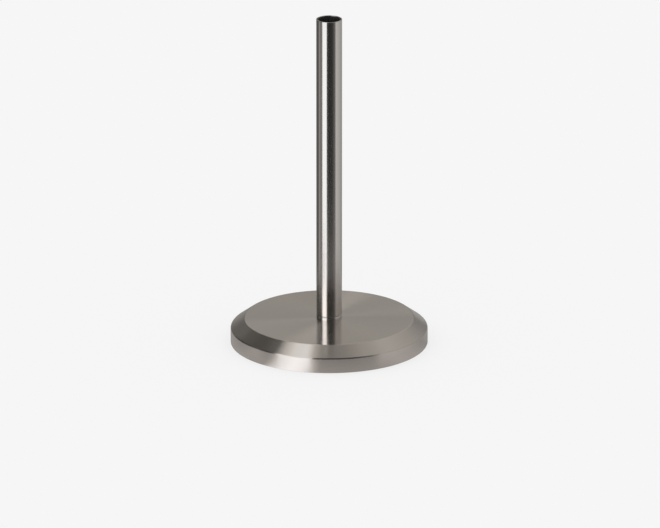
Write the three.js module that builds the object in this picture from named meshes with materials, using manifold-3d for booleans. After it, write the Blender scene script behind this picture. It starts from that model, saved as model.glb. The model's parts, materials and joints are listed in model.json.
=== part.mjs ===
// An indoor flag pole stand: a weighted round base with a bevelled steel cover, and an upright tube whose
// open top takes a flag pole. A thumb screw at the back of the tube's mouth clamps the pole.
//
// Frame: millimetres, +Z up, origin on the floor at the centre of the base. The thumb screw is on the +Y
// side. Parts that bear on each other keep a gap of FIT between their faces.
import * as THREE from "three";
import { mergeVertices } from "three/addons/utils/BufferGeometryUtils.js";
import Module from "manifold-3d";

const wasm = await Module();
wasm.setup();

// ---------------------------------------------------------------- driving dimensions

const TOTAL_HEIGHT = 420;
const FIT = 0.3; // gap between faces that touch on the real object
const OVERSHOOT = 1; // shapes that cut or join run this far past the faces that they meet

const BASE_DIAMETER = 246;
const BASE_SIDE_HEIGHT = 18.8; // the upright band round the base
const BEVEL_WIDTH = 17.3; // the sloping band, measured level
const BEVEL_HEIGHT = 12.4; // and measured upright
const COVER_SHEET = 1.5;
const COVER_EDGE_RADIUS = 2.4;
const FLOOR_GAP = 0.5; // the cover's lower edge stands this far off the floor

const TUBE_DIAMETER = 32;
const TUBE_WALL = 1.5;
const TUBE_EDGE_BEVEL = 0.4;
const POLE_BORE_DIAMETER = 25.8; // takes 25 mm and 1 inch flag poles
const FOOT_RING_HEIGHT = 4.5;
const FOOT_PLUG_LENGTH = 30;
const POLE_REST_THICKNESS = 5;
const LOWER_GUIDE_LENGTH = 30;
const MOUTH_LINER_LENGTH = 70;
const MOUTH_LINER_DROP = 0.4; // the liner ends this far below the tube's end

const PLATE_THICKNESS = 2;
const PLATE_PLAY = 0.4; // between the plate's edge and the cover
const PAD_RADIUS = 11;
const PAD_THICKNESS = 2.3;
const PAD_COUNT = 6;
const PAD_CIRCLE_RADIUS = 98;
const PLATE_SCREW_COUNT = 4;
const PLATE_SCREW_CIRCLE_RADIUS = 74;

const BOLT_RADIUS = 6; // M12
const BOLT_LENGTH = 40;
const BOLT_HEAD_ACROSS_FLATS = 18;
const BOLT_HEAD_HEIGHT = 7.5;
const BOLT_TIP_BEVEL = 1;
const BOLT_CLEARANCE = 0.6;
const BOLT_RUNOUT = 4; // the tapped hole goes this far past the bolt's tip
const WASHER_THICKNESS = 2.5;
const WASHER_CLEARANCE = 0.4;
const LOCK_WASHER_RADIUS = 10.5;
const LOCK_WASHER_SPLIT = 1.2;
const FLAT_WASHER_RADIUS = 15;
const BOLT_WELL_RADIUS = 17;

const DOWEL_RADIUS = 2.5;
const DOWEL_LENGTH = 22;
const DOWEL_OFFSET = 10; // towards +Y, like the split in the lock washer

const CLAMP_DROP = 35; // thumb screw axis below the tube's end
const CLAMP_TRAVEL = 4; // how far the screw drives the pressure pad in
const PAD_INSET = 0.1; // the pressure pad's faces lie this far inside the liner's
const SCREW_RADIUS = 2.9; // M6
const KNOB_RADIUS = 9;
const KNOB_LENGTH = 12;
const KNOB_FLUTES = 12;
const KNOB_FLUTE_RADIUS = 1.5;

// ---------------------------------------------------------------- worked-out places

const baseRadius = BASE_DIAMETER / 2;
const bevelAngle = Math.atan2(BEVEL_HEIGHT, BEVEL_WIDTH);
const coverBottomZ = FLOOR_GAP;
const coverRimZ = coverBottomZ + BASE_SIDE_HEIGHT;
const coverTopZ = coverRimZ + BEVEL_HEIGHT;
const coverTopRadius = baseRadius - BEVEL_WIDTH;

const plateBottomZ = PAD_THICKNESS + FIT;
const plateTopZ = plateBottomZ + PLATE_THICKNESS;
const ballastBottomZ = plateTopZ + FIT;

const tubeRadius = TUBE_DIAMETER / 2;
const tubeInnerRadius = tubeRadius - TUBE_WALL;
const liningRadius = tubeInnerRadius - FIT; // outside of whatever is pushed into the tube
const boreRadius = POLE_BORE_DIAMETER / 2;

const footRingZ = coverTopZ + FIT;
const tubeFootZ = footRingZ + FOOT_RING_HEIGHT + FIT;
const plugTopZ = tubeFootZ + FOOT_PLUG_LENGTH;
const socketFloorZ = plugTopZ + FIT + POLE_REST_THICKNESS;
const linerTopZ = TOTAL_HEIGHT - MOUTH_LINER_DROP;

const boltSeatZ = 12.9; // underside of the bolt's head
const lockWasherZ = boltSeatZ + FIT;
const flatWasherZ = lockWasherZ + WASHER_THICKNESS + FIT;
const boltWellTopZ = flatWasherZ + WASHER_THICKNESS + FIT;
const boltTipZ = boltSeatZ + BOLT_LENGTH;
const boltHoleRadius = BOLT_RADIUS + BOLT_CLEARANCE;

const dowelZ = 21;
const dowelHoleRadius = DOWEL_RADIUS + FIT;

const clampZ = TOTAL_HEIGHT - CLAMP_DROP;

// ---------------------------------------------------------------- materials

function metal(name, color, roughness) {
  return new THREE.MeshStandardMaterial({ name, color, roughness, metalness: 1 });
}

function plastic(name, color, roughness) {
  return new THREE.MeshStandardMaterial({ name, color, roughness, metalness: 0 });
}

const brushedSteel = metal("brushed_steel", 0xa39d97, 0.32);
const zincSteel = metal("zinc_steel", 0x9c9d9b, 0.45);
const castIron = metal("cast_iron", 0x3a3937, 0.8);
const blackPlate = plastic("black_plate", 0x1d1d1e, 0.6);
const blackRubber = plastic("black_rubber", 0x141414, 0.85);
const blackNylon = plastic("black_nylon", 0x191919, 0.5);

// ---------------------------------------------------------------- shape helpers

// Points of an arc about (cr, cz) in the radius-height plane, from one angle to another.
function arc(cr, cz, radius, from, to, steps) {
  return Array.from({ length: steps + 1 }, (_, i) => {
    const angle = from + ((to - from) * i) / steps;
    return [cr + radius * Math.cos(angle), cz + radius * Math.sin(angle)];
  });
}

// A body of revolution about +Z. The profile is [radius, height] points, anticlockwise with the axis on the
// left, and either starts and ends on the axis or is closed from its last point back to its first.
function turned(profile, segments) {
  const points = profile.map(([r, z]) => new THREE.Vector2(r, z));
  const onAxis = profile[0][0] === 0 && profile.at(-1)[0] === 0;
  if (!onAxis) points.push(points[0].clone());
  return new THREE.LatheGeometry(points, segments).rotateX(Math.PI / 2);
}

// A rod about +Z between two heights, with its far end bevelled where a bevel is given.
function rod(radius, from, to, segments, bevel = 0) {
  const end = bevel ? [[radius, to - bevel], [radius - bevel, to]] : [[radius, to]];
  return turned([[0, from], [radius, from], ...end, [0, to]], segments);
}

// A ring about +Z between two heights.
function ring(inner, outer, from, to, segments) {
  return turned([[inner, from], [outer, from], [outer, to], [inner, to]], segments);
}

// Six flats about +Z between two heights.
function hexagon(acrossFlats, from, to) {
  const cornerRadius = acrossFlats / Math.sqrt(3);
  return new THREE.CylinderGeometry(cornerRadius, cornerRadius, to - from, 6)
    .rotateX(Math.PI / 2)
    .translate(0, 0, (from + to) / 2);
}

// Turns a geometry made about +Z so that it lies along +Y at the height of the clamp.
function alongClamp(geometry) {
  return geometry.rotateX(-Math.PI / 2).translate(0, 0, clampZ);
}

function toSolid(geometry) {
  const bare = geometry.clone();
  bare.deleteAttribute("normal");
  bare.deleteAttribute("uv");
  const merged = mergeVertices(bare, 1e-3);
  return new wasm.Manifold(
    new wasm.Mesh({
      numProp: 3,
      vertProperties: merged.attributes.position.array,
      triVerts: new Uint32Array(merged.index.array),
    }),
  );
}

function toGeometry(solid) {
  const mesh = solid.getMesh();
  const geometry = new THREE.BufferGeometry();
  geometry.setAttribute("position", new THREE.BufferAttribute(mesh.vertProperties, 3));
  geometry.setIndex(new THREE.BufferAttribute(mesh.triVerts, 1));
  geometry.computeVertexNormals();
  return geometry;
}

function cut(geometry, ...tools) {
  return toGeometry(tools.reduce((left, tool) => left.subtract(toSolid(tool)), toSolid(geometry)));
}

function join(geometry, ...others) {
  return toGeometry(others.reduce((whole, other) => whole.add(toSolid(other)), toSolid(geometry)));
}

const stand = new THREE.Group();

function place(name, geometry, material, x = 0, y = 0) {
  const mesh = new THREE.Mesh(geometry, material);
  mesh.name = name;
  mesh.position.set(x, y, 0);
  stand.add(mesh);
}

// Calls make(number, x, y) for count places on a circle, the first at the given angle.
function aroundCircle(count, radius, firstAngle, make) {
  for (let i = 0; i < count; i++) {
    const angle = firstAngle + (2 * Math.PI * i) / count;
    make(i + 1, radius * Math.cos(angle), radius * Math.sin(angle));
  }
}

// ---------------------------------------------------------------- base

// The cover's outline moved inwards by a distance: the upright side's radius and the bevel's two corners.
function insetCorners(distance) {
  return {
    side: baseRadius - distance,
    rim: [baseRadius - distance, coverRimZ - distance * Math.tan((Math.PI / 2 - bevelAngle) / 2)],
    top: [coverTopRadius - distance * Math.tan(bevelAngle / 2), coverTopZ - distance],
  };
}

function baseCover() {
  const inside = insetCorners(COVER_SHEET);
  const centres = insetCorners(COVER_EDGE_RADIUS);
  const slopeNormal = Math.PI / 2 - bevelAngle;
  const shell = turned(
    [
      [inside.side, coverBottomZ],
      [baseRadius, coverBottomZ],
      ...arc(...centres.rim, COVER_EDGE_RADIUS, 0, slopeNormal, 3),
      ...arc(...centres.top, COVER_EDGE_RADIUS, slopeNormal, Math.PI / 2, 2),
      [boltHoleRadius, coverTopZ],
      [boltHoleRadius, coverTopZ - COVER_SHEET],
      inside.top,
      inside.rim,
    ],
    96,
  );
  return cut(shell, dowelHole());
}

function dowelHole() {
  return rod(dowelHoleRadius, dowelZ - FIT, dowelZ + DOWEL_LENGTH + FIT, 16).translate(0, DOWEL_OFFSET, 0);
}

function ballast() {
  const outline = insetCorners(COVER_SHEET + FIT);
  const disc = turned(
    [
      [BOLT_WELL_RADIUS, ballastBottomZ],
      [outline.side, ballastBottomZ],
      outline.rim,
      outline.top,
      [boltHoleRadius, outline.top[1]],
      [boltHoleRadius, boltWellTopZ],
      [BOLT_WELL_RADIUS, boltWellTopZ],
    ],
    72,
  );
  const holes = [dowelHole()];
  aroundCircle(PLATE_SCREW_COUNT, PLATE_SCREW_CIRCLE_RADIUS, Math.PI / 4, (_, x, y) => {
    const hole = rod(plateScrew.shank + FIT, ballastBottomZ - OVERSHOOT, plateScrew.holeEndZ, 16);
    holes.push(hole.translate(x, y, 0));
  });
  return cut(disc, ...holes);
}

// M4 countersunk screw: its head is flush with the plate and tapers at 45 degrees.
const plateScrew = {
  head: 3.75,
  shank: 2,
  faceZ: plateBottomZ + 0.1,
  tipZ: 15,
  tipBevel: 0.8,
  holeEndZ: 17,
  socketAcrossFlats: 2.5,
  socketDepth: 1.4,
};

function bottomPlate() {
  const coverInside = insetCorners(COVER_SHEET).side;
  const disc = ring(BOLT_WELL_RADIUS, coverInside - PLATE_PLAY, plateBottomZ, plateTopZ, 96);
  const wide = plateScrew.head + FIT * Math.SQRT2;
  const narrow = plateScrew.shank + FIT;
  const coneTopZ = plateScrew.faceZ + wide - narrow;
  const holes = [];
  aroundCircle(PLATE_SCREW_COUNT, PLATE_SCREW_CIRCLE_RADIUS, Math.PI / 4, (_, x, y) => {
    const profile = [
      [0, plateScrew.faceZ - OVERSHOOT],
      [wide + OVERSHOOT, plateScrew.faceZ - OVERSHOOT],
      [narrow, coneTopZ],
      [narrow, plateTopZ + OVERSHOOT],
      [0, plateTopZ + OVERSHOOT],
    ];
    holes.push(turned(profile, 24).translate(x, y, 0));
  });
  return cut(disc, ...holes);
}

function plateScrewShape() {
  const { head, shank, faceZ, tipZ, tipBevel, socketAcrossFlats, socketDepth } = plateScrew;
  const body = turned(
    [
      [0, faceZ],
      [head, faceZ],
      [shank, faceZ + head - shank],
      [shank, tipZ - tipBevel],
      [shank - tipBevel, tipZ],
      [0, tipZ],
    ],
    24,
  );
  return cut(body, hexagon(socketAcrossFlats, faceZ - OVERSHOOT, faceZ + socketDepth));
}

function floorPad() {
  const softEdge = 0.6;
  return turned(
    [
      [0, 0],
      [PAD_RADIUS - softEdge, 0],
      [PAD_RADIUS, softEdge],
      [PAD_RADIUS, PAD_THICKNESS],
      [0, PAD_THICKNESS],
    ],
    32,
  );
}

place("base_cover", baseCover(), brushedSteel);
place("ballast_disc", ballast(), castIron);
place("bottom_plate", bottomPlate(), blackPlate);
aroundCircle(PLATE_SCREW_COUNT, PLATE_SCREW_CIRCLE_RADIUS, Math.PI / 4, (number, x, y) => {
  place(`plate_screw_${number}`, plateScrewShape(), zincSteel, x, y);
});
aroundCircle(PAD_COUNT, PAD_CIRCLE_RADIUS, 0, (number, x, y) => {
  place(`floor_pad_${number}`, floorPad(), blackRubber, x, y);
});

// ---------------------------------------------------------------- fixings between base and upright

function centreBolt() {
  const head = hexagon(BOLT_HEAD_ACROSS_FLATS, boltSeatZ - BOLT_HEAD_HEIGHT, boltSeatZ);
  return join(head, rod(BOLT_RADIUS, boltSeatZ - OVERSHOOT, boltTipZ, 32, BOLT_TIP_BEVEL));
}

function washer(radius, bottom) {
  return ring(BOLT_RADIUS + WASHER_CLEARANCE, radius, bottom, bottom + WASHER_THICKNESS, 32);
}

function lockWasher() {
  const split = new THREE.BoxGeometry(LOCK_WASHER_SPLIT, LOCK_WASHER_RADIUS, WASHER_THICKNESS * 2);
  split.translate(0, (LOCK_WASHER_RADIUS + BOLT_RADIUS) / 2, lockWasherZ + WASHER_THICKNESS / 2);
  return cut(washer(LOCK_WASHER_RADIUS, lockWasherZ), split);
}

place("centre_bolt", centreBolt(), zincSteel);
place("lock_washer", lockWasher(), zincSteel);
place("flat_washer", washer(FLAT_WASHER_RADIUS, flatWasherZ), zincSteel);
place("dowel_pin", rod(DOWEL_RADIUS, dowelZ, dowelZ + DOWEL_LENGTH, 16), zincSteel, 0, DOWEL_OFFSET);

// ---------------------------------------------------------------- upright

// The trim ring under the tube: slightly crowned, so that its middle is as wide as the tube.
function footRing() {
  const crown = 0.5;
  const shoulder = 1.2;
  const top = footRingZ + FOOT_RING_HEIGHT;
  return cut(
    turned(
      [
        [boltHoleRadius, footRingZ],
        [tubeRadius - crown, footRingZ],
        [tubeRadius, footRingZ + shoulder],
        [tubeRadius, top - shoulder],
        [tubeRadius - crown, top],
        [boltHoleRadius, top],
      ],
      64,
    ),
    dowelHole(),
  );
}

function footPlug() {
  const threadTopZ = boltTipZ + BOLT_RUNOUT;
  const plug = turned(
    [
      [BOLT_RADIUS + FIT, tubeFootZ],
      [liningRadius, tubeFootZ],
      [liningRadius, plugTopZ],
      [0, plugTopZ],
      [0, threadTopZ],
      [BOLT_RADIUS + FIT, threadTopZ],
    ],
    48,
  );
  return cut(plug, dowelHole());
}

function uprightTube() {
  const tube = turned(
    [
      [tubeInnerRadius, tubeFootZ],
      [tubeRadius - TUBE_EDGE_BEVEL, tubeFootZ],
      [tubeRadius, tubeFootZ + TUBE_EDGE_BEVEL],
      [tubeRadius, TOTAL_HEIGHT - TUBE_EDGE_BEVEL],
      [tubeRadius - TUBE_EDGE_BEVEL, TOTAL_HEIGHT],
      [tubeInnerRadius, TOTAL_HEIGHT],
    ],
    64,
  );
  return cut(tube, alongClamp(rod(clamp.stemRadius + FIT, tubeInnerRadius / 2, tubeRadius + OVERSHOOT, 32)));
}

// ---------------------------------------------------------------- clamp

// Distances along +Y from the tube's axis. At rest the pad lies flush in its window in the liner.
const clamp = {
  padWidth: 8,
  padHeight: 14,
  padFace: boreRadius + PAD_INSET,
  padBack: liningRadius - PAD_INSET,
  stemRadius: 3.2,
  stemEnd: 17,
  tipRadius: 1.8,
  tipLength: 2.1,
  bossRadius: 7,
  bossWell: 19,
  bossEnd: 23.5,
  bossBevel: 0.8,
  threadClearance: 0.2,
  knobRoom: 0.5, // left between knob and boss when the screw is driven right in
  screwInKnob: 8.7,
};
clamp.shoulder = clamp.stemEnd + FIT;
clamp.neckFace = clamp.bossEnd + CLAMP_TRAVEL + clamp.knobRoom;
clamp.screwEnd = clamp.neckFace + clamp.screwInKnob;

// A block between two radii about the tube's axis, centred on +Y at the clamp's height.
function curvedBlock(width, height, inner, outer) {
  const block = new THREE.BoxGeometry(width, outer, height).translate(0, outer / 2, clampZ);
  const from = clampZ - height;
  const shell = ring(inner, outer, from, from + 2 * height, 64);
  return toGeometry(toSolid(block).intersect(toSolid(shell)));
}

function mouthLiner() {
  const sleeve = ring(boreRadius, liningRadius, linerTopZ - MOUTH_LINER_LENGTH, linerTopZ, 64);
  const window = new THREE.BoxGeometry(clamp.padWidth + 2 * FIT, tubeRadius, clamp.padHeight + 2 * FIT);
  return cut(sleeve, window.translate(0, tubeRadius, clampZ));
}

function pressurePad() {
  const plate = curvedBlock(clamp.padWidth, clamp.padHeight, clamp.padFace, clamp.padBack);
  const stem = alongClamp(rod(clamp.stemRadius, (clamp.padFace + clamp.padBack) / 2, clamp.stemEnd, 32));
  const tipWell = alongClamp(
    rod(clamp.tipRadius + FIT, clamp.shoulder - clamp.tipLength - FIT, clamp.stemEnd + OVERSHOOT, 24),
  );
  return cut(join(plate, stem), tipWell);
}

function clampBoss() {
  const boss = alongClamp(rod(clamp.bossRadius, tubeRadius / 2, clamp.bossEnd, 48, clamp.bossBevel));
  const tubeSurface = rod(tubeRadius + FIT, clampZ - 2 * clamp.bossRadius, clampZ + 2 * clamp.bossRadius, 96);
  const well = alongClamp(rod(clamp.stemRadius + FIT, 0, clamp.bossWell, 32));
  const thread = alongClamp(rod(SCREW_RADIUS + clamp.threadClearance, 0, clamp.bossEnd + OVERSHOOT, 32));
  return cut(boss, tubeSurface, well, thread);
}

function clampScrew() {
  return alongClamp(
    turned(
      [
        [0, clamp.shoulder - clamp.tipLength],
        [clamp.tipRadius, clamp.shoulder - clamp.tipLength],
        [clamp.tipRadius, clamp.shoulder],
        [SCREW_RADIUS, clamp.shoulder],
        [SCREW_RADIUS, clamp.screwEnd],
        [0, clamp.screwEnd],
      ],
      32,
    ),
  );
}

function clampKnob() {
  const neck = { radius: 6, length: 2 };
  const bevel = 0.8;
  const grip = clamp.neckFace + neck.length;
  const face = grip + KNOB_LENGTH;
  const body = turned(
    [
      [SCREW_RADIUS + FIT, clamp.neckFace],
      [neck.radius, clamp.neckFace],
      [neck.radius, grip],
      [KNOB_RADIUS - bevel, grip],
      [KNOB_RADIUS, grip + bevel],
      [KNOB_RADIUS, face - bevel],
      [KNOB_RADIUS - bevel, face],
      [0, face],
      [0, clamp.screwEnd + FIT],
      [SCREW_RADIUS + FIT, clamp.screwEnd + FIT],
    ],
    48,
  );
  const flutes = [];
  aroundCircle(KNOB_FLUTES, KNOB_RADIUS + KNOB_FLUTE_RADIUS / 2, 0, (_, x, y) => {
    flutes.push(rod(KNOB_FLUTE_RADIUS, grip - OVERSHOOT, face + OVERSHOOT, 12).translate(x, y, 0));
  });
  return alongClamp(cut(body, ...flutes));
}

place("foot_ring", footRing(), brushedSteel);
place("foot_plug", footPlug(), zincSteel);
place("upright_tube", uprightTube(), brushedSteel);
place("pole_rest", rod(boreRadius - FIT, plugTopZ + FIT, socketFloorZ, 48), blackRubber);
place(
  "lower_guide",
  ring(boreRadius, liningRadius, plugTopZ + FIT, plugTopZ + FIT + LOWER_GUIDE_LENGTH, 64),
  blackNylon,
);
place("mouth_liner", mouthLiner(), blackNylon);
place("clamp_boss", clampBoss(), brushedSteel);
place("pressure_pad", pressurePad(), blackNylon);
place("clamp_screw", clampScrew(), zincSteel);
place("clamp_knob", clampKnob(), brushedSteel);

export default stand;
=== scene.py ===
"""A flag pole stand: a turned steel base with a plain upright tube.

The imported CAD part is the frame. The turned and threaded pieces are rebuilt here with finer curves and real
edges, and every piece gets a procedural finish. Lengths are in metres.
"""

import json
import math

import bmesh
import bpy
from mathutils import Matrix, Vector


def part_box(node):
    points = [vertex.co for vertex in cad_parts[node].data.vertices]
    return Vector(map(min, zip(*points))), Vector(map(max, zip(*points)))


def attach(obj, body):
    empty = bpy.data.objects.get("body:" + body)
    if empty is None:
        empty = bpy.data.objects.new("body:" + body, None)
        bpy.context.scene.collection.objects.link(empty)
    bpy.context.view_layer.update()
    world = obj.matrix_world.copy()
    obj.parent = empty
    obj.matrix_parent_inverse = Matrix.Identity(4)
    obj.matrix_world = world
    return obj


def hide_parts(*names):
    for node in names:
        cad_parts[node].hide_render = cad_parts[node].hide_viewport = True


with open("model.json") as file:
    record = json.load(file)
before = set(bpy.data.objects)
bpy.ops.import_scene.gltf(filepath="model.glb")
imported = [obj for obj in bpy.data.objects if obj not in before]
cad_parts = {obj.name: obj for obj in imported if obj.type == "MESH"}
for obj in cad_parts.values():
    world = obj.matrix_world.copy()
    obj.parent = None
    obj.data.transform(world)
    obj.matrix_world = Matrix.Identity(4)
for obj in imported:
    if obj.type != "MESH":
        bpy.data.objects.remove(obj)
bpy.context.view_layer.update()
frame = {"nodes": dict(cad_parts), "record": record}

MM = 0.001
WHITE = (1.0, 1.0, 1.0, 1.0)
PAPER = 0.9215  # the seamless background's value, linear

# ---------------------------------------------------------------- camera

CAMERA_ELEVATION = math.radians(19.02)  # as seen from the foot of the stand
CAMERA_DISTANCE = 10.0
CAMERA_AIM = Vector((0.00103, 0.0, 0.1016))
SENSOR_WIDTH = 36.0
LENS = 436.7
CLIP_START, CLIP_END = 0.5, 60.0


def add_camera():
    data = bpy.data.cameras.new("camera")
    data.sensor_width = SENSOR_WIDTH
    data.lens = LENS
    data.clip_start = CLIP_START
    data.clip_end = CLIP_END
    camera = bpy.data.objects.new("camera", data)
    away = Vector((0.0, -math.cos(CAMERA_ELEVATION), math.sin(CAMERA_ELEVATION)))
    camera.location = away * CAMERA_DISTANCE
    camera.rotation_mode = "QUATERNION"
    camera.rotation_quaternion = (CAMERA_AIM - camera.location).to_track_quat("-Z", "Y")
    bpy.context.scene.collection.objects.link(camera)
    bpy.context.scene.camera = camera


# ---------------------------------------------------------------- node helpers

NOISE_ROUGHNESS = 0.6


class Graph:
    """A node tree with short ways to add and wire nodes."""

    def __init__(self, tree):
        self.tree = tree
        self.tree.nodes.clear()

    def add(self, kind, inputs=None, **settings):
        node = self.tree.nodes.new(kind)
        for name, value in settings.items():
            setattr(node, name, value)
        for key, value in (inputs or {}).items():
            self.set(node.inputs[key], value)
        return node

    def set(self, socket, value):
        if isinstance(value, bpy.types.NodeSocket):
            self.tree.links.new(value, socket)
        elif isinstance(value, bpy.types.Node):
            self.tree.links.new(value.outputs[0], socket)
        else:
            socket.default_value = value

    def math(self, operation, a, b=None, c=None, clamp=False):
        inputs = {i: v for i, v in enumerate((a, b, c)) if v is not None}
        return self.add("ShaderNodeMath", inputs, operation=operation, use_clamp=clamp)

    def remap(self, value, low, high, to_low=0.0, to_high=1.0, smooth=True):
        kind = "SMOOTHSTEP" if smooth else "LINEAR"
        inputs = {0: value, 1: low, 2: high, 3: to_low, 4: to_high}
        return self.add("ShaderNodeMapRange", inputs, interpolation_type=kind)

    def mix(self, factor, a, b):
        inputs = {0: factor, 2: a, 3: b}
        return self.add("ShaderNodeMix", inputs, data_type="FLOAT")

    def mix_color(self, factor, a, b, blend="MIX"):
        node = self.add("ShaderNodeMix", {0: factor, 6: a, 7: b}, data_type="RGBA", blend_type=blend)
        return node.outputs[2]

    def shaded(self, color, brightness):
        """A colour times a grey brightness."""
        grey = self.add("ShaderNodeCombineColor", {0: brightness, 1: brightness, 2: brightness})
        return self.mix_color(1.0, color, grey, "MULTIPLY")

    def noise(self, place, scale, detail, w=None):
        inputs = {"Vector": place, "Scale": scale, "Detail": detail, "Roughness": NOISE_ROUGHNESS}
        if w is None:
            return self.add("ShaderNodeTexNoise", inputs).outputs[0]
        return self.add("ShaderNodeTexNoise", {**inputs, "W": w}, noise_dimensions="4D").outputs[0]

    def ramp(self, factor, stops):
        """A grey ramp through (place, value) stops."""
        node = self.add("ShaderNodeValToRGB", {0: factor})
        elements = node.color_ramp.elements
        while len(elements) > 1:
            elements.remove(elements[-1])
        elements[0].position = stops[0][0]
        elements[0].color = (stops[0][1],) * 3 + (1.0,)
        for place, value in stops[1:]:
            elements.new(place).color = (value,) * 3 + (1.0,)
        return node


# ---------------------------------------------------------------- surroundings

# What the steel reflects. A turned groove smears a reflection over a cone of directions round itself, so the
# studio is laid out by groove (degrees round the stand, minus to the camera's left) and by roll (degrees round
# the groove: 0 level in front, 90 overhead, 180 level behind). Each band is a list of (groove, brightness).
LOW_BAND = [
    (-90, 0.32), (-72, 0.18), (-61, 0.07), (-54, 0.22), (-47, 0.46), (-40, 0.16), (-35, 0.32), (-32.5, 0.34),
    (-30.5, 1.52), (-12, 1.50), (-10, 0.06), (0, 0.03), (15, 0.045), (19, 0.10), (25, 0.15), (27, 0.18),
    (32, 0.71), (47, 0.60), (62, 0.48), (90, 0.46),
]
RAISED_BAND = [
    (-90, 0.18), (-63, 0.03), (-47, 0.10), (-36, 0.04), (-34, 0.08), (-28, 2.85), (-14, 2.85), (-9, 0.05),
    (0, 0.03), (15, 0.04), (24, 0.12), (33, 0.46), (50, 0.40), (65, 0.34), (90, 0.22),
]
HIGH_BAND = [
    (-90, 0.56), (-78, 0.56), (-70, 0.44), (-62, 0.20), (-50, 0.05), (-44, 0.05), (-36, 0.13), (-34, 0.0),
    (-32, 0.0), (-28.5, 0.47), (-25, 0.74), (-22, 1.0), (-16, 1.07), (-14, 1.15), (-12, 0.92), (-10, 0.66),
    (-8, 0.63), (-5, 0.40), (0, 0.30), (10, 0.365), (22, 0.53), (31, 0.50), (40, 0.545), (55, 0.49),
    (75, 0.48), (90, 0.56),
]
BEHIND_BAND = [(-90, 0.60), (-40, 0.51), (-25, 0.53), (-12, 0.53), (0, 0.49), (10, 0.48), (90, 0.50)]
UNDERNEATH = 0.20
# The rolls over which one band turns into the next.
LOW_TO_RAISED = (0, 12)
RAISED_TO_HIGH = (60, 88)
HIGH_TO_BEHIND = (93, 120)
LOW_TO_UNDERNEATH = (-45, -75)
UNDERNEATH_TO_BEHIND = (-110, -140)
RAMP_SCALE = 3.0  # a ramp holds values up to 1, so brightness is divided by this on its way through one
# The raised band's panel is there for the tube's image in the base, where it is mirrored twice. Where it is
# mirrored once it is held to this, or the base's flat top would glare white in some views from behind.
RAISED_LIMIT = 1.0
BETWEEN_ONE_AND_TWO = 1.5
ROOM_TINT = (1.0, 0.985, 0.96, 1.0)
HIGH_TINT = (1.0, 0.99, 0.92, 1.0)
PANEL_TINT = (0.97, 1.0, 1.025, 1.0)
PANEL_FROM = (0.7, 1.2)  # the range of brightness over which light turns from the room's tint to the panel's


def band(graph, turn, stops):
    placed = [(0.5 + degrees / 180, value / RAMP_SCALE) for degrees, value in stops]
    return graph.ramp(turn, placed).outputs[0]


def light_tint(graph, brightness, room_tint):
    return graph.mix_color(graph.remap(brightness, *PANEL_FROM), room_tint, PANEL_TINT)


def add_world():
    world = bpy.data.worlds.new("studio")
    bpy.context.scene.world = world
    world.use_nodes = True
    world.cycles.sampling_method = "NONE"
    graph = Graph(world.node_tree)
    direction = graph.add("ShaderNodeTexCoord").outputs["Generated"]
    x, y, z = graph.add("ShaderNodeSeparateXYZ", {0: direction}).outputs
    groove = graph.math("ARCTAN2", x, graph.math("SUBTRACT", math.cos(CAMERA_ELEVATION), y))
    turn = graph.math("MULTIPLY_ADD", groove, 1 / math.pi, 0.5)
    outward = graph.math(
        "SUBTRACT", graph.math("MULTIPLY", x, graph.math("SINE", groove)),
        graph.math("MULTIPLY", y, graph.math("COSINE", groove)),
    )
    roll = graph.math("MULTIPLY", graph.math("ARCTAN2", z, outward), 180 / math.pi)
    path = graph.add("ShaderNodeLightPath")
    raised = band(graph, turn, RAISED_BAND)
    mirrored_once = graph.math("LESS_THAN", path.outputs["Glossy Depth"], BETWEEN_ONE_AND_TWO)
    raised = graph.mix(mirrored_once, raised, graph.math("MINIMUM", raised, RAISED_LIMIT / RAMP_SCALE))
    glow = graph.mix(graph.remap(roll, *LOW_TO_RAISED), band(graph, turn, LOW_BAND), raised)
    high = graph.remap(roll, *RAISED_TO_HIGH)
    glow = graph.mix(high, glow, band(graph, turn, HIGH_BAND))
    behind = band(graph, turn, BEHIND_BAND)
    glow = graph.mix(graph.remap(roll, *HIGH_TO_BEHIND), glow, behind)
    glow = graph.mix(graph.remap(roll, *LOW_TO_UNDERNEATH), glow, UNDERNEATH / RAMP_SCALE)
    glow = graph.mix(graph.remap(roll, *UNDERNEATH_TO_BEHIND), glow, behind)
    glow = graph.math("MULTIPLY", glow, RAMP_SCALE)
    tint = light_tint(graph, glow, graph.mix_color(high, ROOM_TINT, HIGH_TINT))
    reflected = graph.add("ShaderNodeBackground", {0: tint, 1: glow})
    plain = graph.add("ShaderNodeBackground", {0: WHITE, 1: FLOOR_LIGHT})
    paper = graph.add("ShaderNodeBackground", {0: WHITE, 1: PAPER})
    seen = graph.add("ShaderNodeMixShader", {0: path.outputs["Is Glossy Ray"], 1: plain, 2: reflected})
    seen = graph.add("ShaderNodeMixShader", {0: path.outputs["Is Camera Ray"], 1: seen, 2: paper})
    graph.add("ShaderNodeOutputWorld", {0: seen})


FLOOR_SIZE = 60.0
FLOOR_ALBEDO = 0.8
FLOOR_LIGHT = PAPER / FLOOR_ALBEDO  # the even light that gives the floor the background's own value
FLOOR_OWN_LIGHT = 0.8  # the share of the floor's brightness that no shadow takes away
FLOOR_DROP = 0.05 * MM  # keeps the floor and the undersides of the pads from sharing a plane

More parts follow.
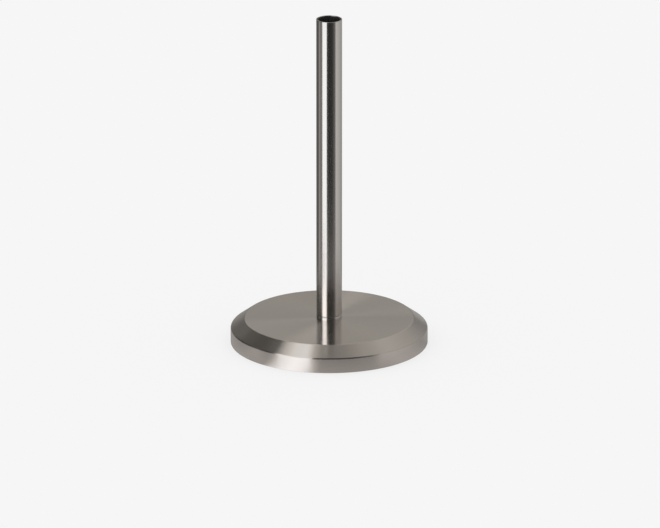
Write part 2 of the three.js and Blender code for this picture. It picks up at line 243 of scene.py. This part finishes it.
# An emissive ring round the base that stands in for the lit paper close round the base. It is a painted
# reflection: it shows only in reflections, mostly in the side of the base, and has a painted bright patch at
# the front left where the panel lights the paper. Its list is (degrees round the stand, painted brightness).
NEAR_PAPER_REACH = 0.2
NEAR_PAPER_LIFT = 0.2 * MM
NEAR_PAPER_STEPS = 96
PAINTED_PAPER_GLOW = [
    (-180, 0.45), (-84, 0.40), (-62, 0.49), (-50, 0.46), (-43, 0.47), (-38, 0.92), (-33, 1.19), (-24, 1.46),
    (-20, 1.38), (-16, 1.25), (-9, 0.62), (-6, 0.46), (10, 0.43), (34, 0.41), (50, 0.51), (65, 0.46),
    (75, 0.42), (83, 0.34), (180, 0.45),
]


def stage_mesh(name, verts, faces, material):
    mesh = bpy.data.meshes.new(name)
    mesh.from_pydata(verts, [], faces)
    mesh.materials.append(material)
    thing = bpy.data.objects.new(name, mesh)
    bpy.context.scene.collection.objects.link(thing)
    return thing


def add_floor():
    material, graph = new_material("paper")
    diffuse = graph.add("ShaderNodeBsdfDiffuse", {0: (FLOOR_ALBEDO,) * 3 + (1.0,)})
    glow = graph.add("ShaderNodeEmission", {0: WHITE, 1: PAPER})
    surface = graph.add("ShaderNodeMixShader", {0: FLOOR_OWN_LIGHT, 1: diffuse, 2: glow})
    graph.add("ShaderNodeOutputMaterial", {0: surface})
    half = FLOOR_SIZE / 2
    corners = [(x, y, -FLOOR_DROP) for x, y in ((-half, -half), (half, -half), (half, half), (-half, half))]
    floor = stage_mesh("floor", corners, [(0, 1, 2, 3)], material)
    floor.visible_glossy = False


def add_painted_paper_glow():
    material, graph = new_material("painted_paper_glow")
    place = graph.add("ShaderNodeTexCoord").outputs["Object"]
    x, y, _ = graph.add("ShaderNodeSeparateXYZ", {0: place}).outputs
    angle = graph.math("ARCTAN2", x, graph.math("MULTIPLY", y, -1.0))
    turn = graph.math("MULTIPLY_ADD", angle, 0.5 / math.pi, 0.5)
    placed = [(0.5 + degrees / 360, value / RAMP_SCALE) for degrees, value in PAINTED_PAPER_GLOW]
    strength = graph.math("MULTIPLY", graph.ramp(turn, placed).outputs[0], RAMP_SCALE)
    # painted reflection: the ring glows with the lit paper's painted brightness, and only glossy rays see it
    glow = graph.add("ShaderNodeEmission", {0: light_tint(graph, strength, ROOM_TINT), 1: strength})
    graph.add("ShaderNodeOutputMaterial", {0: glow})
    steps = NEAR_PAPER_STEPS
    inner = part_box("base_cover")[1].x
    verts = []
    for radius in (inner, NEAR_PAPER_REACH):
        for i in range(steps):
            angle = 2 * math.pi * i / steps
            verts.append((radius * math.cos(angle), radius * math.sin(angle), NEAR_PAPER_LIFT))
    faces = [(i, steps + i, steps + (i + 1) % steps, (i + 1) % steps) for i in range(steps)]
    ring = stage_mesh("painted_paper_glow", verts, faces, material)
    ring.visible_camera = False
    ring.visible_diffuse = False
    ring.visible_shadow = False


# ---------------------------------------------------------------- materials

STREAKS_ROUND = 3.0  # how many streak lengths fit in one radian of grain
GRAIN_DETAIL = 2.0
GRAIN_SPAN = (0.25, 0.75)  # the part of the grain's noise that the finish follows
GRAIN_SHADE = (0.965, 1.025)
GRAIN_GLOSS = (0.93, 1.07)  # times the roughness
GRAIN_RELIEF = 0.003 * MM
GRAIN_RELIEF_STRENGTH = 0.25
SMUDGE_SCALE = 18.0  # handling marks per metre
SMUDGE_DETAIL = 3.0
SMUDGE_SPAN = (0.3, 0.7)
SMUDGE_SHADE = (0.985, 1.01)
SMUDGE_GLOSS = (0.98, 1.04)
QUARTER_TURN = 0.25  # points the long side of the anisotropic highlight across the grain

FINE_DETAIL = 3.0
FINE_SPAN = (0.3, 0.7)
FINE_SHADE = (0.85, 1.12)
FINE_RELIEF_STRENGTH = 0.6
PATCH_DETAIL = 4.0
PATCH_SPAN = (0.35, 0.65)
PATCH_SIZE = 14.0  # times the grain

CLAMP_HEIGHT = sum(corner.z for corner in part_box("clamp_screw")) / 2
TUBE_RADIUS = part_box("upright_tube")[1].x


def new_material(name):
    material = bpy.data.materials.new(name)
    material.use_nodes = True
    return material, Graph(material.node_tree)


def turned_steel(name, color, roughness, pitch, axis="Z", axis_height=0.0):
    """Steel with a fine turned grain round an axis, in streaks of finite length."""
    material, graph = new_material(name)
    place = graph.add("ShaderNodeTexCoord").outputs["Object"]
    x, y, z = graph.add("ShaderNodeSeparateXYZ", {0: place}).outputs
    if axis == "Z":
        first, second, along = x, y, z
    else:
        first, second, along = x, graph.math("SUBTRACT", z, axis_height), y
    across = graph.add("ShaderNodeCombineXYZ", {0: first, 1: second})
    radius = graph.add("ShaderNodeVectorMath", {0: across}, operation="LENGTH").outputs["Value"]
    around = graph.add("ShaderNodeVectorMath", {0: across}, operation="NORMALIZE").outputs[0]
    streak_x, streak_y, _ = graph.add("ShaderNodeSeparateXYZ", {0: around}).outputs
    streaks = graph.add("ShaderNodeCombineXYZ", {
        0: graph.math("MULTIPLY", streak_x, STREAKS_ROUND),
        1: graph.math("MULTIPLY", streak_y, STREAKS_ROUND),
        2: graph.math("DIVIDE", along, pitch),
    })
    grain = graph.noise(streaks, 1.0, GRAIN_DETAIL, w=graph.math("DIVIDE", radius, pitch))
    smudge = graph.noise(place, SMUDGE_SCALE, SMUDGE_DETAIL)
    shade = graph.remap(grain, *GRAIN_SPAN, *GRAIN_SHADE, smooth=False)
    shade = graph.math("MULTIPLY", shade, graph.remap(smudge, *SMUDGE_SPAN, *SMUDGE_SHADE, smooth=False))
    gloss = graph.remap(grain, *GRAIN_SPAN, *(roughness * share for share in GRAIN_GLOSS), smooth=False)
    gloss = graph.math("MULTIPLY", gloss, graph.remap(smudge, *SMUDGE_SPAN, *SMUDGE_GLOSS, smooth=False))
    relief = graph.add("ShaderNodeBump", {
        "Strength": GRAIN_RELIEF_STRENGTH, "Distance": GRAIN_RELIEF, "Height": grain,
    })
    tangent = graph.add("ShaderNodeTangent", direction_type="RADIAL", axis=axis)
    shader = graph.add("ShaderNodeBsdfPrincipled", {
        "Base Color": graph.shaded(color, shade), "Metallic": 1.0, "Roughness": gloss, "Anisotropic": 1.0,
        "Anisotropic Rotation": QUARTER_TURN, "Tangent": tangent, "Normal": relief,
    })
    graph.add("ShaderNodeOutputMaterial", {0: shader})
    return material


def grained(name, colors, grain, roughness, relief, metallic=0.0, coat=0.0):
    """A surface that wanders between two colours, with a fine relief of one grain size."""
    material, graph = new_material(name)
    place = graph.add("ShaderNodeTexCoord").outputs["Object"]
    fine = graph.noise(place, 1 / grain, FINE_DETAIL)
    patches = graph.noise(place, 1 / (grain * PATCH_SIZE), PATCH_DETAIL)
    base = graph.mix_color(graph.remap(patches, *PATCH_SPAN), colors[0], colors[1])
    shade = graph.remap(fine, *FINE_SPAN, *FINE_SHADE, smooth=False)
    gloss = graph.remap(fine, *FINE_SPAN, *roughness, smooth=False)
    bump = graph.add("ShaderNodeBump", {"Strength": FINE_RELIEF_STRENGTH, "Distance": relief, "Height": fine})
    shader = graph.add("ShaderNodeBsdfPrincipled", {
        "Base Color": graph.shaded(base, shade), "Metallic": metallic, "Roughness": gloss, "Normal": bump,
        "Coat Weight": coat,
    })
    graph.add("ShaderNodeOutputMaterial", {0: shader})
    return material


cover_steel = turned_steel("cover_steel", (0.690, 0.634, 0.597, 1.0), roughness=0.225, pitch=0.35 * MM)
tube_steel = turned_steel("tube_steel", (0.665, 0.635, 0.610, 1.0), roughness=0.235, pitch=0.25 * MM)
clamp_steel = turned_steel(
    "clamp_steel", (0.665, 0.635, 0.610, 1.0), roughness=0.30, pitch=0.2 * MM, axis="Y",
    axis_height=CLAMP_HEIGHT,
)
weld_steel = grained(
    "weld_steel", [(0.50, 0.48, 0.46, 1), (0.62, 0.59, 0.56, 1)], grain=0.3 * MM, roughness=(0.28, 0.45),
    relief=0.02 * MM, metallic=1.0,
)
zinc = grained(
    "zinc", [(0.60, 0.61, 0.60, 1), (0.68, 0.67, 0.62, 1)], grain=0.25 * MM, roughness=(0.32, 0.48),
    relief=0.01 * MM, metallic=1.0,
)
cast_iron = grained(
    "cast_iron", [(0.045, 0.043, 0.041, 1), (0.085, 0.075, 0.066, 1)], grain=0.9 * MM, roughness=(0.62, 0.85),
    relief=0.25 * MM, metallic=0.4,
)
plate_coat = grained(
    "plate_coat", [(0.016, 0.016, 0.017, 1), (0.022, 0.022, 0.022, 1)], grain=0.6 * MM, roughness=(0.42, 0.55),
    relief=0.04 * MM, coat=0.1,
)
pad_rubber = grained(
    "pad_rubber", [(0.010, 0.010, 0.010, 1), (0.020, 0.019, 0.018, 1)], grain=0.35 * MM, roughness=(0.72, 0.90),
    relief=0.03 * MM,
)
nylon = grained(
    "nylon", [(0.012, 0.012, 0.013, 1), (0.018, 0.018, 0.018, 1)], grain=0.4 * MM, roughness=(0.40, 0.52),
    relief=0.015 * MM,
)
FINISHES = {
    "brushed_steel": clamp_steel, "zinc_steel": zinc, "cast_iron": cast_iron, "black_plate": plate_coat,
    "black_rubber": pad_rubber, "black_nylon": nylon,
}

# ---------------------------------------------------------------- mesh helpers


def arc(centre, radius, start, end, steps):
    """Points of an arc in the radius-height plane, from one angle to another."""
    angles = [start + (end - start) * i / steps for i in range(steps + 1)]
    return [(centre[0] + radius * math.cos(a), centre[1] + radius * math.sin(a)) for a in angles]


def turned(profile, segments, shape=None, skip=()):
    """A body of revolution about +Z, with its rings of points.

    The profile is (radius, height) points that close on themselves, or start and end on the axis. shape turns
    (radius, height, angle) into another radius and height. skip holds the (profile, segment) faces left open.
    """
    bm = bmesh.new()
    rings = []
    for radius, height in profile:
        ring = []
        for i in range(segments if radius > 0 else 1):
            angle = 2 * math.pi * i / segments
            r, z = shape(radius, height, angle) if shape else (radius, height)
            ring.append(bm.verts.new((r * math.cos(angle), r * math.sin(angle), z)))
        rings.append(ring)
    pairs = list(zip(rings, rings[1:]))
    if profile[0][0] > 0:
        pairs.append((rings[-1], rings[0]))
    for k, (here, there) in enumerate(pairs):
        for i in range(segments):
            if (k, i) in skip:
                continue
            a, b = i % len(here), (i + 1) % segments % len(here)
            c, d = (i + 1) % segments % len(there), i % len(there)
            corners = list(dict.fromkeys([here[a], here[b], there[c], there[d]]))
            if len(corners) > 2:
                bm.faces.new(corners)
    return bm, rings


def add_piece(name, bm, material, body, replaced=None, sharp=30.0, matrix=None):
    if matrix:
        bm.transform(matrix)
    loose = [v for v in bm.verts if not v.link_faces]
    bmesh.ops.delete(bm, geom=loose, context="VERTS")
    bmesh.ops.recalc_face_normals(bm, faces=bm.faces)
    mesh = bpy.data.meshes.new(name)
    bm.to_mesh(mesh)
    bm.free()
    mesh.shade_smooth()
    mesh.set_sharp_from_angle(angle=math.radians(sharp))
    mesh.materials.append(material)
    piece = bpy.data.objects.new(name, mesh)
    bpy.context.scene.collection.objects.link(piece)
    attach(piece, body)
    if replaced:
        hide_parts(replaced)
    return piece


def window_edge(rings, rows, columns):
    """The points round a window in a turned wall, in order, from its lowest row."""
    first, last = columns
    edge = [rings[rows[0]][i] for i in range(first, last)]
    edge += [rings[k][last] for k in rows[:-1]]
    edge += [rings[rows[-1]][i] for i in range(last, first, -1)]
    edge += [rings[k][first] for k in reversed(rows[1:])]
    return edge


def bridge(bm, one, other):
    for i in range(len(one)):
        j = (i + 1) % len(one)
        bm.faces.new((one[i], one[j], other[j], other[i]))


def round_hole(bm, edge, wall_radius, hole_radius, height):
    """Closes a window in a turned wall down to a round hole along Y, and gives the hole's points."""
    hole = []
    for vert in edge:
        angle = math.atan2(vert.co.z - height, vert.co.x)
        x = hole_radius * math.cos(angle)
        z = height + hole_radius * math.sin(angle)
        hole.append(bm.verts.new((x, math.sqrt(wall_radius**2 - x**2), z)))
    bridge(bm, edge, hole)
    return hole


# ---------------------------------------------------------------- base

BEVEL_WIDTH = 17.3 * MM
BEVEL_HEIGHT = 12.4 * MM
COVER_SHEET = 1.5 * MM
COVER_EDGE_RADIUS = 2.4 * MM
COVER_LIP_RADIUS = 0.3 * MM
COVER_HOLE = 6.6 * MM
COVER_SEGMENTS = 256
EDGE_BAND = 0.4 * MM  # a flat face has a row of points this close to its rounded edge, to keep its shading flat


def between(a, b):
    """The two points that stand one edge band in from each end of a straight stretch."""
    start, end = Vector(a), Vector(b)
    step = (end - start).normalized() * EDGE_BAND
    return [tuple(start + step), tuple(end - step)]


def make_cover():
    low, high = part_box("base_cover")
    radius, bottom, top = high.x, low.z, high.z
    slope = math.atan2(BEVEL_HEIGHT, BEVEL_WIDTH)
    lean = math.pi / 2 - slope

    def corners(inset):
        rim = (radius - inset, top - BEVEL_HEIGHT - inset * math.tan(lean / 2))
        brow = (radius - BEVEL_WIDTH - inset * math.tan(slope / 2), top - inset)
        return rim, brow

    rim, brow = corners(COVER_EDGE_RADIUS)
    inner_rim, inner_brow = corners(COVER_SHEET)
    lip = COVER_LIP_RADIUS
    lower_arc = arc(rim, COVER_EDGE_RADIUS, 0, lean, 8)
    upper_arc = arc(brow, COVER_EDGE_RADIUS, lean, math.pi / 2, 6)
    profile = arc((radius - lip, bottom + lip), lip, -math.pi / 2, 0, 3)
    profile += between(profile[-1], lower_arc[0]) + lower_arc
    profile += between(lower_arc[-1], upper_arc[0]) + upper_arc
    profile += between(upper_arc[-1], (COVER_HOLE, top))
    profile += [(COVER_HOLE, top), (COVER_HOLE, top - COVER_SHEET), inner_brow, inner_rim]
    profile.append((radius - COVER_SHEET, bottom))
    bm, _ = turned(profile, COVER_SEGMENTS)
    add_piece("cover", bm, cover_steel, "stand", "base_cover")


PAD_COUNT = 6
PAD_SEGMENTS = 64
PAD_GROOVES = [3.0 * MM, 5.4 * MM, 7.8 * MM]
PAD_GROOVE_WIDTH = 0.8 * MM
PAD_GROOVE_DEPTH = 0.4 * MM
PAD_EDGE_RADIUS = 0.6 * MM
PAD_TOP_BEVEL = 0.2 * MM


def make_pads():
    for number in range(1, PAD_COUNT + 1):
        node = f"floor_pad_{number}"
        low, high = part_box(node)
        radius, thickness = (high.x - low.x) / 2, high.z - low.z
        profile = [(0, 0)]
        for groove in PAD_GROOVES:
            half = PAD_GROOVE_WIDTH / 2
            profile += [(groove - half, 0), (groove - half / 2, PAD_GROOVE_DEPTH)]
            profile += [(groove + half / 2, PAD_GROOVE_DEPTH), (groove + half, 0)]
        edge = (radius - PAD_EDGE_RADIUS, PAD_EDGE_RADIUS)
        profile += arc(edge, PAD_EDGE_RADIUS, -math.pi / 2, 0, 5)
        profile += [(radius, thickness - PAD_TOP_BEVEL), (radius - PAD_TOP_BEVEL, thickness), (0, thickness)]
        bm, _ = turned(profile, PAD_SEGMENTS)
        matrix = Matrix.Translation(((low.x + high.x) / 2, (low.y + high.y) / 2, low.z))
        add_piece(f"pad_{number}", bm, pad_rubber, "stand", node, matrix=matrix)


BOLT_HEAD_HEIGHT = 7.5 * MM
BOLT_RADIUS = 6.0 * MM
BOLT_HEAD_FLATS = 18.0 * MM
BOLT_CHAMFER = 1.2 * MM
BOLT_FACE_INSET = 0.3 * MM
BOLT_DISH_DEPTH = 0.4 * MM
BOLT_DISH_RIM = (1.2 * MM, 1.5 * MM)  # from the face's edge to the top and the foot of the dish's side
BOLT_TIP_BEVEL = 1.0 * MM
BOLT_SEGMENTS = 96


def make_bolt():
    """The hexagon bolt under the base, with the corners of its head's face turned off."""
    low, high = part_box("centre_bolt")
    seat = low.z + BOLT_HEAD_HEIGHT
    corner = BOLT_HEAD_FLATS / math.sqrt(3)
    face = BOLT_HEAD_FLATS / 2 - BOLT_FACE_INSET
    dish = low.z + BOLT_DISH_DEPTH

    def hexagonal(radius, height, angle):
        if radius <= face or height > seat:
            return radius, height
        flat = BOLT_HEAD_FLATS / 2 / math.cos((angle + math.pi / 6) % (math.pi / 3) - math.pi / 6)
        return min(radius, flat), height

    profile = [(0, dish), (face - BOLT_DISH_RIM[1], dish), (face - BOLT_DISH_RIM[0], low.z), (face, low.z)]
    profile += [(face + (corner - face) * i / 4, low.z + BOLT_CHAMFER * i / 4) for i in range(1, 5)]
    profile += [(corner, seat), (BOLT_RADIUS, seat), (BOLT_RADIUS, high.z - BOLT_TIP_BEVEL)]
    profile += [(BOLT_RADIUS - BOLT_TIP_BEVEL, high.z), (0, high.z)]
    bm, _ = turned(profile, BOLT_SEGMENTS, hexagonal)
    add_piece("bolt", bm, zinc, "stand", "centre_bolt")


# ---------------------------------------------------------------- upright

TUBE_WALL = 1.5 * MM
TUBE_EDGE = 0.4 * MM
TUBE_SEGMENTS = 144
STEM_HOLE_RADIUS = 3.5 * MM
HOLE_WINDOW = 5.0 * MM  # half the height of the patch that the hole sits in
HOLE_COLUMNS = 7  # and half its width, in segments
HOLE_ROWS = 14
HOLE_GUARD = 6.5 * MM  # a plain row of points past each end of the patch keeps its shading off the long faces


def make_tube():
    low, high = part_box("upright_tube")
    radius, inner = high.x, high.x - TUBE_WALL
    heights = [CLAMP_HEIGHT - HOLE_WINDOW + 2 * HOLE_WINDOW * i / HOLE_ROWS for i in range(HOLE_ROWS + 1)]
    heights = [CLAMP_HEIGHT - HOLE_GUARD, *heights, CLAMP_HEIGHT + HOLE_GUARD]
    foot, mouth = low.z, high.z
    profile = arc((radius - TUBE_EDGE, foot + TUBE_EDGE), TUBE_EDGE, -math.pi / 2, 0, 3)
    outer_rows = list(range(len(profile) + 1, len(profile) + len(heights) - 1))
    profile += [(radius, z) for z in heights]
    profile += arc((radius - TUBE_EDGE, mouth - TUBE_EDGE), TUBE_EDGE, 0, math.pi / 2, 4)
    profile += arc((inner + TUBE_EDGE, mouth - TUBE_EDGE), TUBE_EDGE, math.pi / 2, math.pi, 4)
    inner_rows = list(range(len(profile) + len(heights) - 2, len(profile), -1))
    profile += [(inner, z) for z in reversed(heights)]
    profile.append((inner, foot))
    back = TUBE_SEGMENTS // 4
    columns = (back - HOLE_COLUMNS, back + HOLE_COLUMNS)
    skip = {(k, i) for k in outer_rows[:-1] + inner_rows[1:] for i in range(*columns)}
    bm, rings = turned(profile, TUBE_SEGMENTS, skip=skip)
    outside = round_hole(bm, window_edge(rings, outer_rows, columns), radius, STEM_HOLE_RADIUS, CLAMP_HEIGHT)
    inside = round_hole(bm, window_edge(rings, inner_rows, columns), inner, STEM_HOLE_RADIUS, CLAMP_HEIGHT)
    bridge(bm, outside, inside)
    add_piece("tube", bm, tube_steel, "stand", "upright_tube")


RING_SHOULDER_RADIUS = 2.0 * MM
RING_SHOULDER_END = math.radians(75)
RING_EDGE = 0.3 * MM


def make_foot_ring():
    """The trim ring, seated on the cover, with a round shoulder under the tube."""
    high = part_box("foot_ring")[1]
    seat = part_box("base_cover")[1].z
    centre = (high.x - RING_SHOULDER_RADIUS, high.z - RING_SHOULDER_RADIUS)
    shoulder = arc(centre, RING_SHOULDER_RADIUS, 0, RING_SHOULDER_END, 10)
    profile = [(COVER_HOLE, seat), (high.x - RING_EDGE, seat), (high.x, seat + RING_EDGE)]
    profile += between(profile[-1], shoulder[0]) + shoulder + [(COVER_HOLE, high.z)]
    bm, _ = turned(profile, TUBE_SEGMENTS)
    add_piece("trim_ring", bm, tube_steel, "stand", "foot_ring")


LINER_SEGMENTS = 108
LINER_WALL = 1.3 * MM
LINER_EDGE = 0.2 * MM
LINER_LEAD_IN = 0.7 * MM
LINER_LEAD_WIDTH = 0.6  # of the lead-in's depth
LINER_LEAD_END = 1.6  # and where its second, steeper slope ends
LINER_LEAD_STEP = 0.1 * MM
WINDOW_HALF_HEIGHT = 7.3 * MM
WINDOW_COLUMNS = 6


def make_liner():
    """The nylon sleeve in the mouth, with its window for the pressure pad."""
    low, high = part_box("mouth_liner")
    radius, inner = high.x, high.x - LINER_WALL
    heights = [CLAMP_HEIGHT - WINDOW_HALF_HEIGHT, CLAMP_HEIGHT + WINDOW_HALF_HEIGHT]
    profile = [(inner, low.z), (radius, low.z)]
    outer_rows = [2, 3]
    profile += [(radius, z) for z in heights]
    profile += arc((radius - LINER_EDGE, high.z - LINER_EDGE), LINER_EDGE, 0, math.pi / 2, 3)
    profile.append((inner + LINER_LEAD_IN * LINER_LEAD_WIDTH, high.z))
    profile.append((inner + LINER_LEAD_STEP, high.z - LINER_LEAD_IN))
    profile.append((inner, high.z - LINER_LEAD_IN * LINER_LEAD_END))
    inner_rows = [len(profile) + 1, len(profile)]
    profile += [(inner, z) for z in reversed(heights)]
    back = LINER_SEGMENTS // 4
    columns = (back - WINDOW_COLUMNS, back + WINDOW_COLUMNS)
    skip = {(k, i) for k in (outer_rows[0], inner_rows[1]) for i in range(*columns)}
    bm, rings = turned(profile, LINER_SEGMENTS, skip=skip)
    bridge(bm, window_edge(rings, outer_rows, columns), window_edge(rings, inner_rows, columns))
    add_piece("liner", bm, nylon, "stand", "mouth_liner")


# ---------------------------------------------------------------- clamp

# Shapes are made about +Z and turned to lie along +Y at the clamp's height, so a height is a distance from the
# tube's axis.
ALONG_CLAMP = Matrix.Translation((0, 0, CLAMP_HEIGHT)) @ Matrix.Rotation(-math.pi / 2, 4, "X")
BOSS_RADIUS = 7.0 * MM
BOSS_EDGE = 0.8 * MM
BOSS_WELL = 19.0 * MM
BOSS_GAP = 0.1 * MM  # left between the boss and the tube, under the weld
BOSS_SEGMENTS = 96
THREAD_BORE = 3.1 * MM
THREAD_BORE_BEVEL = 0.4 * MM
WELD_STEPS = 432
WELD_ROWS = 10
WELD_LEG = 1.5 * MM
WELD_LEG_WANDER = 0.05
WELD_BULGE = 0.22 * MM
WELD_ROOT_DEPTH = 0.3 * MM
WELD_ROOT_DROP = 0.1 * MM
WELD_RIPPLES = 36
WELD_PACE_WANDER = (0.9, 0.5)  # slow and quick changes of pace, in radians of a ripple's wave
RIPPLE_DEPTH = 0.035 * MM
RIPPLE_BOW = 1.6  # how far a ripple's middle runs ahead of its ends, in radians of its own wave
SMALL_BEVEL = 0.3 * MM
KNOB_EDGE = 1.0 * MM
KNOB_NECK_RADIUS = 6.0 * MM
KNOB_NECK_LENGTH = 2.0 * MM
KNOB_FLUTES = 12
FLUTE_DEPTH = 0.75 * MM
FLUTE_SHARE = 0.6  # how much of the knob's edge the flutes take
FLUTE_STEPS = 20
KNOB_BORE_GAP = 0.3 * MM
KNOB_RIM = 0.72  # the dish's radius as a share of the knob's
KNOB_DISH = 0.5 * MM
KNOB_DISH_STEP = 0.6 * MM  # the width of the steep side of the dish
KNOB_DISH_STEEP = 0.8  # how much of the depth it falls
KNOB_DISH_FLAT = 0.6  # the flat middle as a share of the dish
SCREW_TIP_RADIUS = 1.8 * MM
SCREW_TIP_LENGTH = 2.1 * MM
THREAD_PITCH = 1.0 * MM
THREAD_DEPTH = 0.4 * MM
THREAD_LENGTH = 12.0 * MM
THREAD_ROWS = 10  # to each turn
THREAD_FLANK = 2.6  # how fast the groove deepens away from the crest, in depths to a turn
THREAD_CREST = 0.15  # the depth of flank that the crest's flat cuts off
SCREW_SEGMENTS = 48


def on_tube(x, clearance=0.0):
    """How far along +Y the tube's surface lies at a distance x to the side."""
    return math.sqrt((TUBE_RADIUS + clearance) ** 2 - x**2)


def make_boss():
    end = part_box("clamp_boss")[1].y
    profile = [(STEM_HOLE_RADIUS, 0), (BOSS_RADIUS, 0)]
    profile += arc((BOSS_RADIUS - BOSS_EDGE, end - BOSS_EDGE), BOSS_EDGE, 0, math.pi / 2, 6)
    profile += [(THREAD_BORE + THREAD_BORE_BEVEL, end), (THREAD_BORE, end - THREAD_BORE_BEVEL)]
    profile += [(THREAD_BORE, BOSS_WELL), (STEM_HOLE_RADIUS, BOSS_WELL)]

    def saddle(radius, height, angle):
        return (radius, height) if height > 0 else (radius, on_tube(radius * math.cos(angle), BOSS_GAP))

    bm, _ = turned(profile, BOSS_SEGMENTS, saddle)
    add_piece("boss", bm, clamp_steel, "stand", "clamp_boss", matrix=ALONG_CLAMP)


def make_weld():
    """The fillet weld round the foot of the boss: a bead of shallow bowed ripples, each laid over the last."""
    bm = bmesh.new()
    slow, quick = WELD_PACE_WANDER
    rings = []
    for i in range(WELD_STEPS):
        angle = 2 * math.pi * i / WELD_STEPS
        out = Vector((math.cos(angle), math.sin(angle), 0))
        pace = WELD_RIPPLES * angle + slow * math.sin(3 * angle) + quick * math.sin(7 * angle + 1.0)
        leg = WELD_LEG * (1 + WELD_LEG_WANDER * math.sin(2 * angle + 0.4))
        ring = []
        for j in range(WELD_ROWS + 1):
            share = j / WELD_ROWS
            crown = math.sin(math.pi * share)
            phase = (pace + RIPPLE_BOW * crown) / (2 * math.pi) % 1.0
            swell = crown * (WELD_BULGE + RIPPLE_DEPTH * (1 - 2 * phase**3))
            point = out * (BOSS_RADIUS + leg * (1 - share) + swell)
            point.z = on_tube(point.x) + leg * share + swell
            ring.append(bm.verts.new(point))
        root = out * (BOSS_RADIUS - WELD_ROOT_DEPTH)
        root.z = on_tube(root.x) - WELD_ROOT_DROP
        ring.append(bm.verts.new(root))
        rings.append(ring)
    for i, here in enumerate(rings):
        there = rings[(i + 1) % WELD_STEPS]
        for j in range(len(here)):
            k = (j + 1) % len(here)
            bm.faces.new((here[j], there[j], there[k], here[k]))
    add_piece("boss_weld", bm, weld_steel, "stand", sharp=60, matrix=ALONG_CLAMP)


def make_screw():
    low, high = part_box("clamp_screw")
    radius = high.x
    shoulder = low.y + SCREW_TIP_LENGTH
    steps = int(THREAD_LENGTH / THREAD_PITCH * THREAD_ROWS)
    profile = [(0, low.y), (SCREW_TIP_RADIUS - SMALL_BEVEL, low.y), (SCREW_TIP_RADIUS, low.y + SMALL_BEVEL)]
    profile += [(SCREW_TIP_RADIUS, shoulder), (radius - THREAD_DEPTH, shoulder)]
    profile += [(radius, shoulder + THREAD_LENGTH * (i + 1) / steps) for i in range(steps)]
    profile += [(radius, high.y), (0, high.y)]

    def threaded(r, height, angle):
        if r < radius or not shoulder < height <= shoulder + THREAD_LENGTH:
            return r, height
        phase = (height / THREAD_PITCH - angle / (2 * math.pi)) % 1.0
        groove = min(1.0, max(0.0, THREAD_FLANK * abs(phase - 0.5) - THREAD_CREST))
        return r - THREAD_DEPTH * groove, height

    bm, _ = turned(profile, SCREW_SEGMENTS, threaded)
    add_piece(
        "thumb_screw_shaft", bm, zinc, "thumb_screw", "clamp_screw", sharp=50, matrix=ALONG_CLAMP,
    )


def make_knob():
    low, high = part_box("clamp_knob")
    radius, start, face = high.x, low.y, high.y
    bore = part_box("clamp_screw")[1].x + KNOB_BORE_GAP
    bore_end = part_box("clamp_screw")[1].y + KNOB_BORE_GAP
    grip = start + KNOB_NECK_LENGTH
    profile = [(0, bore_end), (bore, bore_end), (bore, start), (KNOB_NECK_RADIUS - SMALL_BEVEL, start)]
    profile += [(KNOB_NECK_RADIUS, start + SMALL_BEVEL), (KNOB_NECK_RADIUS, grip)]
    profile += arc((radius - KNOB_EDGE, grip + KNOB_EDGE), KNOB_EDGE, -math.pi / 2, 0, 6)
    profile += arc((radius - KNOB_EDGE, face - KNOB_EDGE), KNOB_EDGE, 0, math.pi / 2, 8)
    rim = radius * KNOB_RIM
    profile += [(rim, face), (rim - KNOB_DISH_STEP, face - KNOB_DISH * KNOB_DISH_STEEP)]
    profile += [(rim * KNOB_DISH_FLAT, face - KNOB_DISH), (0, face - KNOB_DISH)]

    def fluted(r, height, angle):
        turn = (angle * KNOB_FLUTES / (2 * math.pi)) % 1.0 - 0.5
        depth = 0.0
        if abs(turn) < FLUTE_SHARE / 2:
            depth = FLUTE_DEPTH * math.cos(math.pi * turn / FLUTE_SHARE) ** 2
        return min(r, radius - depth), height

    bm, _ = turned(profile, KNOB_FLUTES * FLUTE_STEPS, fluted)
    add_piece("knob", bm, clamp_steel, "thumb_screw", "clamp_knob", matrix=ALONG_CLAMP)


# ---------------------------------------------------------------- assembly


def finish_nodes():
    """The CAD nodes that show as they are get their materials and smooth shading."""
    for part in frame["record"]["subparts"]:
        node = frame["nodes"][part["node"]]
        node.data.materials.clear()
        node.data.materials.append(FINISHES[part["material_slot"]])
        node.modifiers.new("weld", "WELD").merge_threshold = 0.001 * MM
        node.data.shade_smooth()
        node.modifiers.new("edges", "EDGE_SPLIT").split_angle = math.radians(30)


bpy.context.scene.view_settings.view_transform = "Standard"
bpy.context.scene.view_settings.look = "None"
add_camera()
add_world()
add_floor()
add_painted_paper_glow()
finish_nodes()
make_cover()
make_pads()
make_bolt()
make_tube()
make_foot_ring()
make_liner()
make_boss()
make_weld()
make_screw()
make_knob()
